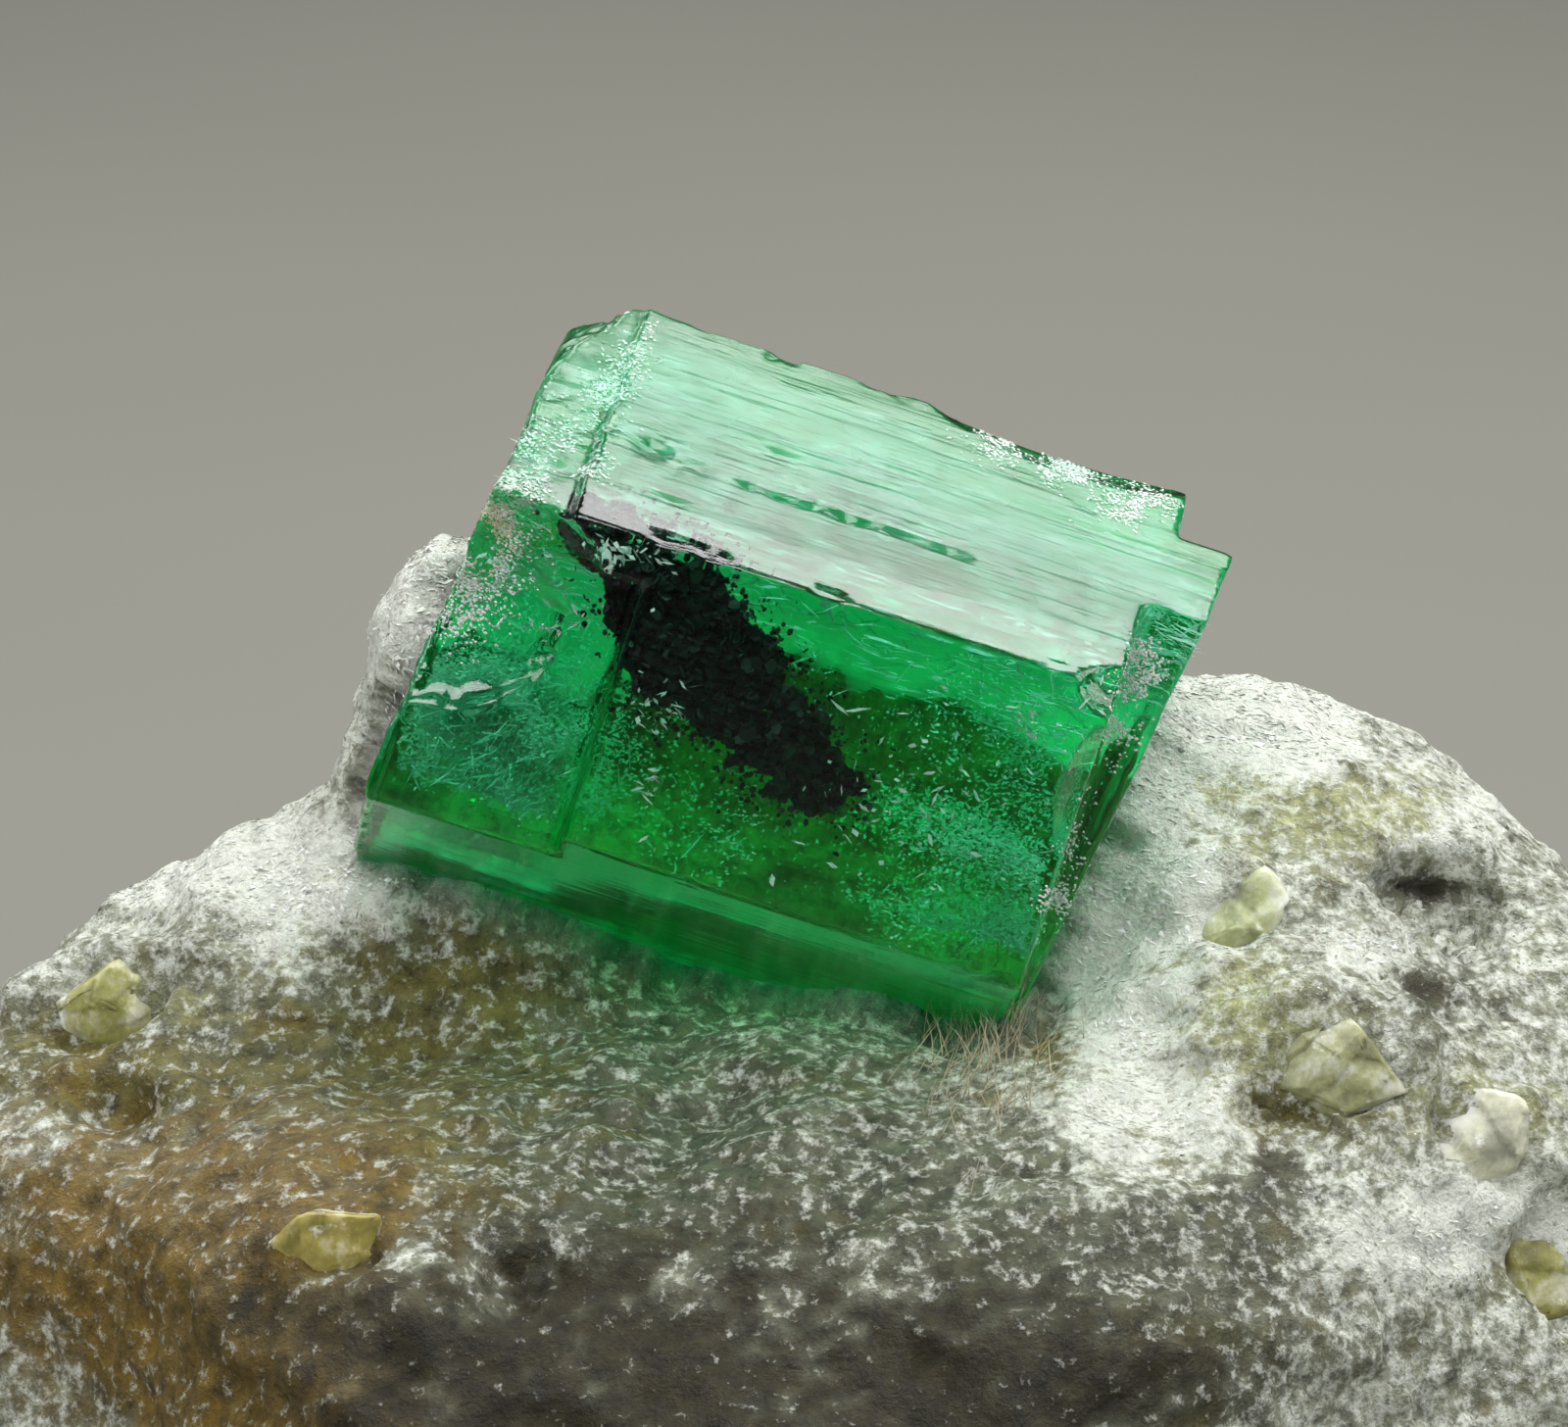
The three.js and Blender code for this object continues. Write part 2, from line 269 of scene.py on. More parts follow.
turnCrystal = (Matrix.Rotation(rad(90 - crystal["lean"]), 3, "X")
               @ Matrix.Rotation(-rad(crystal["dip"]), 3, "Z")
               @ Matrix.Rotation(rad(crystal["roll"]), 3, "X"))
turnArray = np.array(turnCrystal)


def hexagonPrism():
    side = crystal["side"]
    ring = [(side * math.sin(rad(30 + 60 * k)), side * math.cos(rad(30 + 60 * k))) for k in range(6)]
    points = [(crystal["left"], y, z) for y, z in ring] + [(crystal["right"], y, z) for y, z in ring]
    mesh = bpy.data.meshes.new("prism")
    walls = [(k, (k + 1) % 6, (k + 1) % 6 + 6, k + 6) for k in range(6)]
    mesh.from_pydata(points, [], [tuple(range(5, -1, -1)), tuple(range(6, 12))] + walls)
    mesh.update()
    return mesh


def block(low, high):
    points = [(x, y, z) for x in (low[0], high[0]) for y in (low[1], high[1]) for z in (low[2], high[2])]
    faces = [(0, 1, 3, 2), (4, 6, 7, 5), (0, 4, 5, 1), (2, 3, 7, 6), (0, 2, 6, 4), (1, 5, 7, 3)]
    return meshFromArrays("block", np.array(points), faces)


def turned(mesh, axis, degrees, shift=(0, 0, 0)):
    turn = np.array(Matrix.Rotation(rad(degrees), 3, axis))
    setPoints(mesh, pointsOf(mesh) @ turn.T + np.array(shift))
    return mesh


def roughBall(middle, radii, detail, ripple, seed):
    ball = bmesh.new()
    bmesh.ops.create_icosphere(ball, subdivisions=detail, radius=1)
    mesh = bpy.data.meshes.new("ball")
    ball.to_mesh(mesh)
    ball.free()
    points = pointsOf(mesh)
    swell = 1 + ripple * (waves(points, 0.55, seed) + 0.6 * waves(points, 0.26, seed + 1))
    setPoints(mesh, points * swell[:, None] * np.array(radii) + np.array(middle))
    return mesh


far = 12  # reach of a cutting block
sightFrom = 14  # in front of the crystal


def crystalCutters():
    c = crystal
    cutters = [
        block((c["stubStart"], -far, apothem - c["stubSetback"]), (far, far, far)),
        turned(block((c["stubBackStart"], -far, apothem - c["stubBackSetback"]), (far, far, far)), "X", -120),
        block((-far, -far, apothem - c["plateThick"]), (c["plateLeft"], c["plateTop"], far)),
        turned(block((-far, -far, apothem - c["flakeSetback"]), (c["flakeStart"], far, far)), "X", -60),
    ]
    for x, y, turn in (c["leftEnd"], c["upperLeft"], c["rightEnd"]):
        cutters.append(turned(block((0, -far, -far), (far, far, far)), "Z", turn, (x, y, 0)))
    for k, (middle, radii) in enumerate(c["chips"]):
        cutters.append(roughBall(middle, radii, c["chipDetail"], c["chipRipple"], 3 + k))
    return cutters


crystalMesh = carved(hexagonPrism(), crystalCutters())

# the crystal's middle in the part's frame, from the box of its solid there
turnedPoints = pointsOf(crystalMesh) @ turnArray.T
lowCorner, highCorner = (np.array(corner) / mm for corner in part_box("emerald_crystal"))
crystalMiddle = (lowCorner + highCorner - turnedPoints.min(0) - turnedPoints.max(0)) / 2
print("crystal middle", crystalMiddle.round(3))


def toPart(points):
    return np.asarray(points) @ turnArray.T + crystalMiddle


# the way out of the crystal's face that is turned up by these degrees from the front face
def faceWay(degrees):
    return np.array([0, math.sin(rad(degrees)), math.cos(rad(degrees))])


leanBack = rad(crystal["lean"])
frontRight = np.array([1.0, 0, 0])
frontUp = np.array([0, math.sin(leanBack), math.cos(leanBack)])
frontOut = np.array([0, -math.cos(leanBack), math.sin(leanBack)])


# places right of and up from the crystal's middle, as seen from the front
def seen(points):
    away = np.asarray(points) - crystalMiddle
    return away @ frontRight, away @ frontUp


# where a line of sight from the front meets a mesh
def sightOn(tree, right, up):
    start = crystalMiddle + right * frontRight + up * frontUp + sightFrom * frontOut
    return tree.ray_cast(Vector(start), Vector(-frontOut))[0]


# soft patches, each given as right, up, half width, half height and strength
def patches(points, spots):
    right, up = seen(points)
    total = np.zeros(len(right))
    for x, u, wide, high, strength in spots:
        total += strength * np.exp(-((right - x) / wide) ** 2 - ((up - u) / high) ** 2)
    return total.clip(0, 1)


# material helpers

def newMaterial(name):
    material = bpy.data.materials.new(name)
    material.use_nodes = True
    nodes = material.node_tree.nodes
    return material, nodes, nodes["Principled BSDF"]


# links a socket to an output, or sets it to a plain value
def feed(source, socket):
    if isinstance(source, bpy.types.NodeSocket):
        socket.id_data.links.new(source, socket)
    else:
        socket.default_value = source


def setInputs(node, values):
    for name, value in values.items():
        node.inputs[name].default_value = value


def noiseNode(nodes, scale, detail=4, roughness=0.6):
    place = nodes.new("ShaderNodeTexCoord")
    mapping = nodes.new("ShaderNodeMapping")  # the texture's own scale ends at 1000
    setInputs(mapping, {"Scale": [scale / mm] * 3})
    feed(place.outputs["Object"], mapping.inputs["Vector"])
    texture = nodes.new("ShaderNodeTexNoise")
    setInputs(texture, {"Scale": 1, "Detail": detail, "Roughness": roughness})
    feed(mapping.outputs["Vector"], texture.inputs["Vector"])
    return texture.outputs["Fac"]


def rangeNode(nodes, source, fromLow, fromHigh, toLow, toHigh):
    node = nodes.new("ShaderNodeMapRange")
    setInputs(node, {"From Min": fromLow, "From Max": fromHigh, "To Min": toLow, "To Max": toHigh})
    feed(source, node.inputs["Value"])
    return node.outputs["Result"]


def colourRamp(nodes, source, stops):
    node = nodes.new("ShaderNodeValToRGB")
    while len(node.color_ramp.elements) < len(stops):
        node.color_ramp.elements.new(0.5)
    for element, (place, colour) in zip(node.color_ramp.elements, stops):
        element.position = place
        element.color = (*colour, 1)
    feed(source, node.inputs["Fac"])
    return node.outputs["Color"]


# soft noise between the given colours, as the shader's own colour
def mottled(nodes, shader, scale, detail, stops):
    feed(colourRamp(nodes, noiseNode(nodes, scale, detail), stops), shader.inputs["Base Color"])


def mixColours(nodes, first, second, share, kind="MIX"):
    node = nodes.new("ShaderNodeMix")
    node.data_type = "RGBA"
    node.blend_type = kind
    for socket, source in ((6, first), (7, second), (0, share)):
        feed(source, node.inputs[socket])
    return node.outputs[2]


def scaledColour(nodes, colour, factor):
    node = nodes.new("ShaderNodeVectorMath")
    node.operation = "SCALE"
    feed(colour, node.inputs[0])
    feed(factor, node.inputs["Scale"])
    return node.outputs["Vector"]


def stored(nodes, name, output="Fac"):
    node = nodes.new("ShaderNodeAttribute")
    node.attribute_name = name
    return node.outputs[output]


def bumpNode(nodes, height, strength, distance):
    node = nodes.new("ShaderNodeBump")
    setInputs(node, {"Strength": strength, "Distance": distance * mm})
    feed(height, node.inputs["Height"])
    return node.outputs["Normal"]


# emerald

emerald = {
    "ior": 1.577,
    "absorbColour": (0.071, 0.964, 0.693),  # what the stone lets through
    "absorbDensity": 700,  # per metre
    "striation": 0.018, "fissure": 0.06, "hackle": 0.045, "edgeChip": 0.1, "crumble": 0.06, "hidden": 0.09,
    "pit": 0.13, "lineHeight": 0.028, "lineStretch": (0.7, 12, 12),  # fine lines, along and across the axis
    "frost": {"base": 0.03, "top": 0.22, "under": 0.1, "ends": 0.1, "broken": 0.14, "crumbly": 0.3,
              "hidden": 0.5},
    "fanFrom": (-2.1, 0.5),  # where the ridges of the broken left end meet
    "crack": {"from": -1.6, "to": 2.4, "climb": 1.66, "depth": 0.17, "width": 0.05, "shelf": 0.7,
              "step": 0.05},
    "darkPatches": [(-1.6, 3.3, 0.35, 0.2, 1), (-2.4, 3.55, 0.2, 0.12, 0.8), (-1.2, 2.95, 0.3, 0.12, 0.7)],
}


def emeraldMaterial():
    material, nodes, shader = newMaterial("emerald")
    setInputs(shader, {"Base Color": (1, 1, 1, 1), "IOR": emerald["ior"], "Transmission Weight": 1})
    feed(stored(nodes, "frost"), shader.inputs["Roughness"])
    # hair-fine growth lines: the stored place in the crystal, squeezed along its axis
    stretch = nodes.new("ShaderNodeVectorMath")
    stretch.operation = "MULTIPLY"
    stretch.inputs[1].default_value = emerald["lineStretch"]
    feed(stored(nodes, "growth", "Vector"), stretch.inputs[0])
    lines = nodes.new("ShaderNodeTexNoise")
    setInputs(lines, {"Scale": 1, "Detail": 5})
    feed(stretch.outputs["Vector"], lines.inputs["Vector"])
    bump = nodes.new("ShaderNodeBump")
    setInputs(bump, {"Distance": emerald["lineHeight"] * mm})
    feed(lines.outputs["Fac"], bump.inputs["Height"])
    feed(stored(nodes, "lined"), bump.inputs["Strength"])
    feed(bump.outputs["Normal"], shader.inputs["Normal"])
    inside = nodes.new("ShaderNodeVolumeAbsorption")
    setInputs(inside, {"Color": (*emerald["absorbColour"], 1), "Density": emerald["absorbDensity"]})
    feed(inside.outputs["Volume"], nodes["Material Output"].inputs["Volume"])
    return material


def facing(normals, degrees):
    return ramp(normals @ faceWay(degrees), 0.86, 0.97)


# how far up the top face a point lies, from the edge that it shares with the front face
def climbOf(points):
    return 0.5 * (points[:, 1] - crystal["side"] / 2) - math.sin(rad(60)) * (points[:, 2] - apothem)


# the long crack of the top face: distance above it, and how strong it is there
def crackOf(points):
    crack = emerald["crack"]
    track = points * (1, 0, 0)
    above = climbOf(points) - crack["climb"] - 0.1 * waves(track, 1.1, 35) - 0.05 * waves(track, 0.28, 36)
    window = ramp(points[:, 0], crack["from"], crack["from"] + 0.8)
    window = window * ramp(-points[:, 0], -crack["to"], 0.5 - crack["to"])
    return above, window * ramp(waves(track, 0.5, 67) + 0.5 * waves(points, 0.25, 68), -1.3, 0.1)


# fan of ridges over the broken left end, crossed by shell-shaped ripples
def brokenRelief(points):
    away = points[:, :2] - np.array(emerald["fanFrom"])
    reach = np.hypot(*away.T)
    angle = np.arctan2(away[:, 1], -away[:, 0])
    fan = np.column_stack([5 * angle, 0.5 * reach, 0.3 * points[:, 2]])
    ridges = 1 - 2 * np.abs(waves(fan, 1, 26)) + 0.5 * (1 - 2 * np.abs(waves(fan, 0.4, 37)))
    ripples = 0.25 * np.sin(11 * reach + 3 * waves(points, 1.2, 38))
    return ridges + ripples + 0.35 * waves(points, 0.2, 27)


def finishCrystal(mesh):
    mesh = remeshed(mesh, crystal["voxel"])
    points, normals = pointsOf(mesh), normalsOf(mesh)
    inPart = toPart(points)
    front, top, under = facing(normals, 0), facing(normals, 60), facing(normals, -60)
    ends = ramp(np.abs(normals[:, 0]), 0.5, 0.9)
    broken = ramp(-points[:, 0], 2.2, 3) * np.clip(1 - front - top - under, 0, 1)
    crumbly = ramp(-points[:, 0], 2.7, 3.9) * ramp(points[:, 1], 1.9, 2.9)
    # growth lines run along the axis, so the waves are long in x and short across it
    long = points * (0.05, 1, 1)
    lines = waves(long, 0.13, 21) + 1.2 * waves(points * (0.16, 1, 1), 0.5, 23)
    cracks = ramp(waves(points * (0.14, 1, 1), 0.16, 24), 0.5, 0.85) * ramp(waves(points, 1.3, 25), -0.5, 0.4)
    crack = emerald["crack"]
    above, window = crackOf(points)
    groove = np.exp(-(above / crack["width"]) ** 2) * window
    shelf = ramp(above, -0.02, 0.04) * ramp(-above, -crack["shelf"], 0) * window
    strip = top * ramp(-climbOf(points), -0.85 - 0.2 * waves(long, 0.3, 39), -0.6)
    push = emerald["striation"] * lines * (top * (1 - 0.7 * strip) + 0.35 * under + 0.06 * front)
    cuts = emerald["fissure"] * cracks * top * (1 - strip) + crack["depth"] * groove * top
    push -= cuts + crack["step"] * shelf * top
    push += emerald["hackle"] * brokenRelief(points) * np.maximum(broken, 0.4 * ends)
    crumbs = ramp(waves(points, 0.4, 61) + 0.8 * waves(points, 0.18, 62), -0.5, 1)
    push -= emerald["crumble"] * crumbly * crumbs
    # the faces that the rock holds are uneven, and break up what is seen through the crystal
    hidden = ramp(-normals @ turnArray.T @ frontOut, 0.05, 0.45)
    held = 0.15 + 0.85 * ramp(-nearestOn(treeOf(weldedCadMesh("matrix")), inPart)[2], -0.6, -0.2)
    push += emerald["hidden"] * hidden * held * (waves(points, 0.9, 57) + 0.6 * waves(points, 0.4, 58))
    push += emerald["striation"] * lines * hidden * (1 - held)
    # chips along the edges, where a point lies near two faces at once
    depth = np.sort(apothem - np.stack([points @ faceWay(60 * k) for k in range(6)]), axis=0)
    edge = ramp(-depth[1], -0.22, -0.02)
    chipped = ramp(waves(points, 0.45, 28) + 0.4 * waves(points, 0.17, 29), 0.1, 0.9)
    push -= emerald["edgeChip"] * edge * chipped
    clean = patches(inPart, emerald["darkPatches"])
    push -= emerald["pit"] * clean * top * ramp(waves(points, 0.22, 30), -0.6, 0.5)
    setPoints(mesh, points + normals * push[:, None])
    patch = waves(points * (0.3, 1, 1), 0.4, 31)
    rough = emerald["frost"]
    frost = rough["top"] * top * (1 + 0.4 * patch) * (1 - 0.75 * strip) * (1 - 0.8 * clean)
    frost *= 1 - 0.5 * shelf
    frost += rough["under"] * under * ramp(patch, 0, 0.8) + rough["ends"] * ends
    frost += rough["broken"] * broken * ramp(patch, -0.1, 0.6)
    frost += rough["crumbly"] * crumbly * ramp(patch, -0.4, 0.6)
    frost += rough["base"] + rough["hidden"] * hidden
    setValues(mesh, "frost", np.clip(frost, 0.02, 0.6))
    setValues(mesh, "lined", np.clip(0.9 * top * (1 - 0.6 * strip) + 0.3 * under + 0.06 * front, 0, 1))
    setValues(mesh, "growth", points, "FLOAT_VECTOR", "vector")
    return mesh


crystalMesh = finishCrystal(crystalMesh)
growth = pointsOf(crystalMesh)  # places in the crystal's own frame
growthWays = normalsOf(crystalMesh)
setPoints(crystalMesh, toPart(growth))
crystalTree = treeOf(crystalMesh)


# pale flecks inside the crystal: silk under the top face, clouds and veils behind the front, bright glints

flecks = {  # deep: below the face; turn: how far each turns out of line
    "silk": {"count": 5000, "deep": (0.5, 2.2), "turn": 0.06,
             "sizes": ((0.15, 0.7), (0.03, 0.07), (0.01, 0.03))},
    "cloud": {"count": 4500, "deep": (1.2, 2.8), "turn": 1, "size": (0.015, 0.055), "form": (1.5, 1, 0.6)},
    "dust": {"count": 700, "deep": (0.7, 3.5), "turn": 1, "size": (0.01, 0.04), "form": (1, 1, 1)},
    "glint": {"count": 420, "deep": (0.1, 0.35), "turn": 0.8, "size": (0.03, 0.14), "form": (1.8, 0.8, 0.25)},
    "streak": {"count": 500, "deep": (1.6, 2.8), "turn": 0.12,
               "sizes": ((0.2, 0.8), (0.015, 0.045), (0.01, 0.03))},
    "veil": {"count": 24000, "deep": 2.5, "wavy": 0.7, "blur": 0.15, "turn": 0.5,
             "sizes": ((0.04, 0.11), (0.03, 0.06)), "thick": 0.012,
             "way": (0.19, -0.58, 0.79)},  # half way between the eye and the light inside the crystal
    "rhomb": [(0.91, -0.31), (1.14, -0.14), (1.41, -0.37), (1.1, -0.57)],
    "rhombDeep": 0.25, "rhombThick": 0.045,
}
fleckSpots = {
    "cloud": [
        (2.1, -0.4, 1.8, 0.9, 1), (-1.4, -0.5, 0.8, 0.5, 0.6), (2.6, -2.8, 1.6, 0.7, 0.7),
        (0.3, 0.6, 0.9, 0.5, 0.4), (-4.2, -0.6, 0.8, 1.3, 0.7), (-0.5, -3.6, 3.5, 0.5, 0.5),
        (3.6, -1.2, 0.8, 1.2, 0.7), (3, -4.1, 1.3, 0.5, 1),
    ],
    "glint": [
        (-2.1, 1.65, 0.55, 0.15, 1), (-1.5, -0.5, 0.3, 0.35, 0.5), (-3.8, 1.35, 0.4, 0.3, 0.9),
        (-2.7, 0.75, 0.6, 0.12, 0.6), (-1.75, -1.5, 0.12, 0.3, 0.6), (-1.7, -2.4, 0.1, 0.15, 0.8),
        (3.6, -0.7, 0.25, 0.2, 0.6), (4.7, 0.3, 0.3, 0.3, 0.6), (2.3, -1.9, 1.2, 0.8, 0.15),
    ],
    "streak": [(-4.3, -0.5, 0.8, 1.3, 1), (-3.4, -0.9, 0.7, 1, 1), (-4.6, -2, 0.6, 0.5, 0.8)],
    "veil": [
        (-4.2, -0.7, 0.9, 1.2, 1), (-3.4, -1.6, 0.8, 0.6, 0.8), (-4.4, -2.5, 1, 0.6, 1),
        (3, -4.2, 1.4, 0.5, 1.2), (3.6, -1.6, 0.5, 1, 0.25),
    ],
}
axisWay = toPart([(1, 0, 0)])[0] - crystalMiddle
topWay = toPart([faceWay(60)])[0] - crystalMiddle
faint = 1e-7  # keeps the odds above zero


def fleckMaterial():
    material, nodes, shader = newMaterial("paleFlecks")
    mottled(nodes, shader, 3, 2, [(0.3, (0.88, 0.97, 0.9)), (0.7, (0.97, 1, 0.97))])
    setInputs(shader, {"Roughness": 0.3})
    return material


# flecks start on the crystal's face and sink below it
def sunken(density, count, deep, dice):
    places, ways = spread(crystalMesh, density, count, dice)
    places = places - ways * dice.uniform(*deep, count)[:, None]
    return places[depthIn(crystalTree, places) > 0.07]


def silkDensity():
    streaks = ramp(waves(growth * (0.12, 1, 1), 0.3, 63) + 0.6 * waves(growth, 0.9, 64), -0.3, 0.9)
    clean = patches(toPart(growth), emerald["darkPatches"])
    top = facing(growthWays, 60)
    return top * ramp(climbOf(growth), 0.5, 1.1) * (0.25 + streaks) * (1 - clean) + 10 * faint


# clouds break up into slanting wisps
def wispsAt(places):
    slanted = places @ np.array([[1, 0.4, 0], [0, 1, 0.3], [0.5, 0, 1]])
    return waves(slanted, 0.7, 65) + 0.6 * waves(places, 0.3, 66)


# healed cracks: flecks on a wavy sheet below the face
def veil(density, dice):
    values = flecks["veil"]
    places, ways = spread(crystalMesh, density, values["count"], dice)
    deep = values["deep"] + values["wavy"] * waves(places, 0.9, 69)
    places = places - ways * (deep + dice.normal(0, values["blur"], len(places)))[:, None]
    places = places[depthIn(crystalTree, places) > 0.2]
    count = len(places)
    sizes = [dice.uniform(*limits, count) for limits in values["sizes"]] + [np.full(count, values["thick"])]
    return places, axisWay + dice.normal(0, values["turn"], (count, 3)), np.column_stack(sizes)


# thin outline of a small rhomb just behind the front face
def rhombOutline():
    corners = np.array([sightOn(crystalTree, *spot) for spot in flecks["rhomb"]])
    corners = corners - flecks["rhombDeep"] * frontOut
    sides = np.roll(corners, -1, axis=0) - corners
    length = np.linalg.norm(sides, axis=1)
    thick = np.full((len(sides), 2), flecks["rhombThick"])
    return corners + 0.5 * sides, sides, np.column_stack([1.15 * length, thick])


def fleckMesh():
    dice = np.random.default_rng(71)
    inPart = pointsOf(crystalMesh)
    outward = ramp(normalsOf(crystalMesh) @ frontOut, 0.15, 0.6) * (1 - facing(growthWays, 60))
    density = {kind: outward * patches(inPart, spots) + faint * (10 if kind == "cloud" else 1)
               for kind, spots in fleckSpots.items()}
    density.update({"silk": silkDensity(), "dust": outward + 0.2})
    sets = []
    for kind in ("silk", "cloud", "dust", "glint", "streak"):
        values = flecks[kind]
        places = sunken(density[kind], values["count"], values["deep"], dice)
        if kind == "cloud":
            places = places[wispsAt(places) > 0]
        count = len(places)
        if "sizes" in values:
            sizes = np.column_stack([dice.uniform(*limits, count) for limits in values["sizes"]])
        else:
            sizes = dice.uniform(*values["size"], (count, 3)) * values["form"]
        along = axisWay if kind in ("silk", "glint") else 0
        if kind == "streak":
            along = unit(places - toPart([(*emerald["fanFrom"], apothem - 1)]))
        sets.append((places, along + dice.normal(0, values["turn"], (count, 3)), sizes))
    sets.append(veil(density["veil"], dice))
    sets.append(rhombOutline())
    places, along, sizes = (np.vstack(rows) for rows in zip(*sets))
    along = unit(along)
    lean = np.zeros(along.shape)
    lean[:len(sets[0][0])] = 2 * topWay
    lean[-len(sets[-1][0]) - len(sets[-2][0]):] = 4 * np.array(flecks["veil"]["way"])
    ways = unit(dice.normal(0, 1, along.shape) + lean)
    return scattered("paleFlecks", sliver, places, along, ways, sizes)


piece(fleckMesh(), "paleFlecks", fleckMaterial(), smooth=False)


# black mica: a slanting cluster of thin plates inside the crystal

mica = {
    "outline": [(-3.44, 1.3), (-2.19, 0.03), (-1.66, -0.7), (-0.66, -0.98), (1.18, -1.58), (1.84, -1.07),
                (0.52, 0), (-0.65, 0.83), (-1.53, 1.22)],  # along the axis and up, seen from the front
    "plates": 3000, "strays": 500, "depth": 3, "thick": 0.5, "strayReach": 0.28, "straySize": 0.4,
    "tries": 60000, "margin": 0.5, "ragged": 0.16, "wide": (0.08, 0.3),
    "narrow": (0.6, 1), "thin": (0.08, 0.3),
}


def insideOutline(spots):
    outline = mica["outline"]
    inside = np.zeros(len(spots), bool)
    for (x1, y1), (x2, y2) in zip(outline, outline[1:] + outline[:1]):
        crosses = (y1 > spots[:, 1]) != (y2 > spots[:, 1])
        inside ^= crosses & (spots[:, 0] < (x2 - x1) * (spots[:, 1] - y1) / (y2 - y1 + 1e-12) + x1)
    return inside


def micaMaterial():
    material, nodes, shader = newMaterial("blackMica")
    mottled(nodes, shader, 6, 3, [(0.4, (0.004, 0.006, 0.005)), (0.75, (0.02, 0.03, 0.022))])
    setInputs(shader, {"Roughness": 0.4, "Specular IOR Level": 0.25})
    return material


def micaMesh():
    dice = np.random.default_rng(72)
    low, high = np.min(mica["outline"], axis=0), np.max(mica["outline"], axis=0)
    spots = dice.uniform(low - mica["margin"], high + mica["margin"], (mica["tries"], 2))
    flat = np.c_[spots, 0 * spots[:, :1]]
    ragged = spots + mica["ragged"] * np.column_stack([waves(flat, 0.22, seed) for seed in (73, 74)])
    core = spots[insideOutline(ragged)][:mica["plates"]]
    loose = spots[insideOutline(spots + dice.normal(0, mica["strayReach"], spots.shape))]
    loose = loose[~insideOutline(loose)][:mica["strays"]]
    spots = np.vstack([core, loose])
    count = len(spots)
    z = mica["depth"] + mica["thick"] * dice.uniform(-0.5, 0.5, count)
    turn = rad(crystal["roll"])
    y = (spots[:, 1] + z * math.sin(turn)) / math.cos(turn)
    places = toPart(np.column_stack([spots[:, 0], y, z]))
    wide = dice.uniform(*mica["wide"], count) * np.where(np.arange(count) < len(core), 1, mica["straySize"])
    narrow, thin = (wide * dice.uniform(*mica[key], count) for key in ("narrow", "thin"))
    sizes = np.column_stack([wide, narrow, thin])
    ways = unit(dice.normal(0, 1, (count, 3)) + 0.8 * frontOut)
    along = dice.normal(0, 1, (count, 3))
    keep = depthIn(crystalTree, places) > 0.55 * wide + 0.03
    return scattered("micaPlates", hexagonPlate, places[keep], along[keep], ways[keep], sizes[keep])


micaPiece = piece(micaMesh(), "micaPlates", micaMaterial(), smooth=False)
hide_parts("mica_inclusion")


frostColour = (0.89, 0.92, 0.82)  # sugary talc on the grains and the rock


# carbonate grains: glassy blocks set nearly flush in the rock

grains = {
    "nodes": [f"carbonate_grain_{k}" for k in range(1, 7)], "voxel": 0.06,
    "grow": 0.3, "proud": 0.32, "flatten": 0.3, "steps": ((0.55, 0.05), (0.34, 0.03)),  # pitch and height
    "ripple": 0.2, "cuts": 14, "cutReach": (0.45, 0.85), "lean": 0.16,
    "colours": [(0.5, 0.53, 0.28), (0.36, 0.37, 0.19), (0.62, 0.62, 0.47), (0.36, 0.35, 0.12),
                (0.38, 0.38, 0.13), (0.42, 0.36, 0.1)],
}


# white frost where the sugary noise and the stored share of white add up
def frosting(nodes):
    sugar = noiseNode(nodes, 4.6, 6, 0.7)
    added = nodes.new("ShaderNodeMath")
    added.operation = "MULTIPLY_ADD"
    added.inputs[1].default_value = 0.5
    feed(stored(nodes, "white"), added.inputs[0])
    feed(sugar, added.inputs[2])
    return sugar, rangeNode(nodes, added.outputs["Value"], 0.66, 0.84, 0, 1)


def grainMaterial(name, colour):
    material, nodes, shader = newMaterial(name)
    cloudy = noiseNode(nodes, 1.6, 5)
    pale = [0.5 + 0.5 * c for c in colour]
    deep = [0.55 * c for c in colour]
    body = colourRamp(nodes, cloudy, [(0.34, deep), (0.5, colour), (0.68, pale)])
    sugar, frost = frosting(nodes)
    feed(mixColours(nodes, body, (*frostColour, 1), frost), shader.inputs["Base Color"])
    setInputs(shader, {"Roughness": 0.2, "Subsurface Weight": 0.5, "Subsurface Radius": (1, 0.9, 0.5),
                       "Subsurface Scale": 0.25 * mm})
    feed(bumpNode(nodes, sugar, 0.3, 0.08), shader.inputs["Normal"])
    return material


